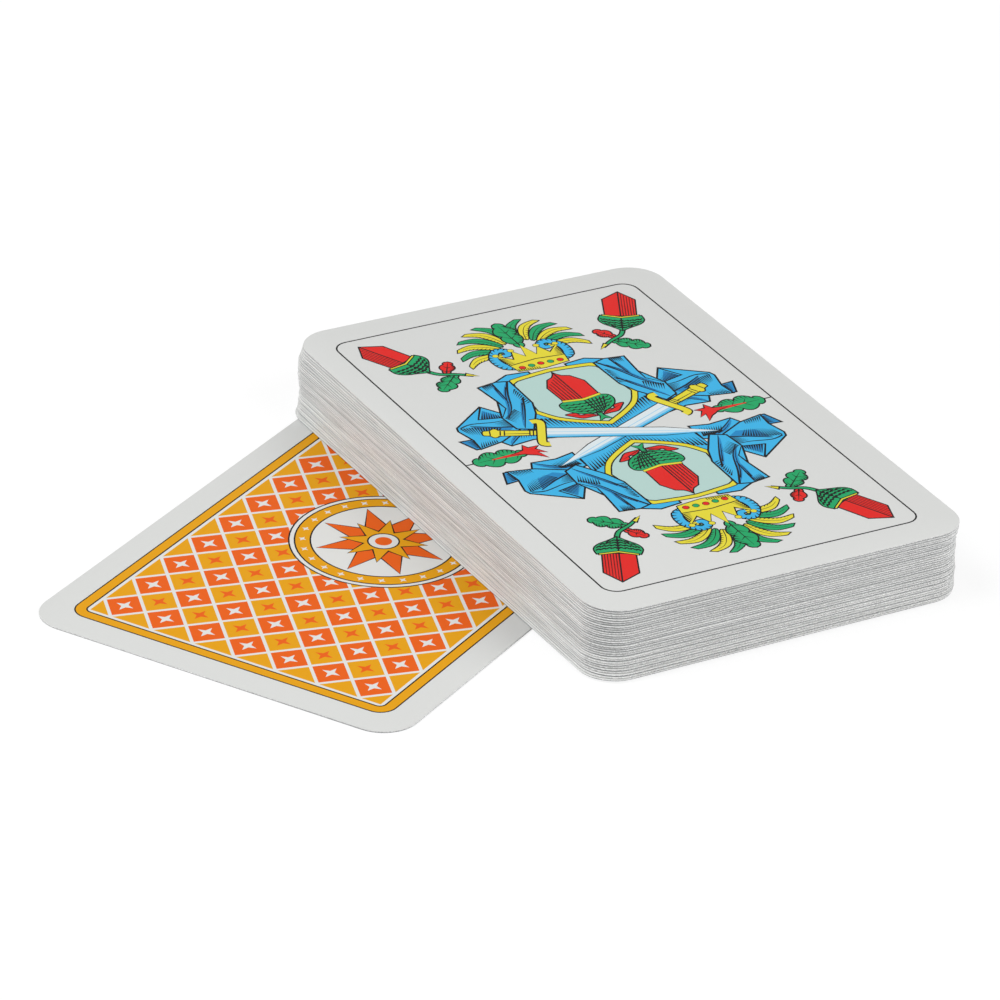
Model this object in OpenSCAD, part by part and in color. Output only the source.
// Deck of 32 German-suited playing cards: a squared-up stack, face up, lying on one loose card, face down.
// The origin lies on the table, under the middle of the top card. +X runs across the top card to the right,
// +Y along it away from the player, and +Z up. Sizes are in millimetres.

/* [Card] */
// Width of a card
card_w = 59; // [50:0.5:70]
// Length of a card
card_l = 91; // [80:0.5:110]
// Thickness of the pasted board
card_t = 0.30; // [0.20:0.01:0.50]
// Radius of the die-cut corners
corner_r = 5.3; // [2:0.1:10]

/* [Stack] */
// Air that stays between two cards, because none is quite flat
air_gap = 0.03; // [0.01:0.01:0.10]
// Drift of the lowest stacked card to the left of the top card
lean_left = 1.1; // [0:0.1:3]
// Drift of the lowest stacked card towards the player
lean_near = 0.9; // [0:0.1:3]
// Turn of the lowest stacked card, in degrees anticlockwise from above
lean_turn = 0.7; // [0:0.1:2]
// Height of the wave in the stack's long sides
sway = 0.25; // [0:0.05:1.5]
// Height of the wave in the cards' turn, in degrees
sway_turn = 0.28; // [0:0.02:1]
// Farthest that one card is pushed out of line with its neighbours
card_slip = 0.06; // [0:0.02:0.5]
// Farthest that one card is turned out of line with its neighbours, in degrees
card_twist = 0.05; // [0:0.01:0.5]

/* [Loose card] */
// Middle of the loose card, measured outwards from the left side of the top card
loose_out = 7.5; // [0:0.5:12]
// Middle of the loose card, measured away from the player from the middle of the top card
loose_far = 1.8; // [-10:0.1:10]
// Turn of the loose card, in degrees clockwise from above
loose_turn = 59; // [50:0.5:70]

/* [Hidden] */
suits = ["acorns", "leaves", "hearts", "bells"];
ranks = ["ace", "king", "ober", "unter", "ten", "nine", "eight", "seven"];

// Every card, from the top of the stack down; the last one is the loose card
NODES = [for (suit = suits) for (rank = ranks) str(rank, "_of_", suit)];

loose = len(NODES) - 1;
lowest = loose - 1;
pitch = card_t + air_gap;
board_colour = "whitesmoke";
back_colour = "darkorange";

// Irrational steps that spread the cards' offsets without repeating
slip_step_x = sqrt(5) / 2;
slip_step_y = sqrt(2);
twist_step = sqrt(3);

$fn = 96;

// Evenly scattered value from -1 to 1 for card i, which is 0 for the top card
function scatter(i, step) = 2 * (i * step + 0.5 - floor(i * step + 0.5)) - 1;

// Share of the way down the stack: 0 for the top card, 1 for the lowest
function depth(i) = i / lowest;

function stacked_x(i) =
    -lean_left * depth(i) - sway * sin(360 * depth(i)) + card_slip * scatter(i, slip_step_x);

function stacked_y(i) = -lean_near * pow(depth(i), 3) + card_slip * scatter(i, slip_step_y);

function stacked_z(i) = pitch * (loose - i);

function stacked_turn(i) =
    lean_turn * depth(i) + sway_turn * sin(360 * depth(i)) + card_twist * scatter(i, twist_step);

// Outline of a card: a rectangle with round corners, as the die cuts it
module card_outline() {
    square([card_w - 2 * corner_r, card_l], center = true);
    square([card_w, card_l - 2 * corner_r], center = true);
    for (side = [-1, 1], end = [-1, 1])
        translate([side * (card_w / 2 - corner_r), end * (card_l / 2 - corner_r)])
            circle(r = corner_r);
}

// One card, its underside on the plane z = 0
module blank_card() {
    linear_extrude(card_t) card_outline();
}

// Card i of the squared-up stack, counted from the top
module stacked_card(i) {
    color(board_colour)
        translate([stacked_x(i), stacked_y(i), stacked_z(i)])
            rotate(stacked_turn(i))
                blank_card();
}

// The card that lies on the table, half under the stack
module loose_card() {
    color(back_colour)
        translate([-card_w / 2 - loose_out, loose_far, 0])
            rotate(-loose_turn)
                blank_card();
}

for (i = [0 : lowest])
    stacked_card(i);
loose_card();
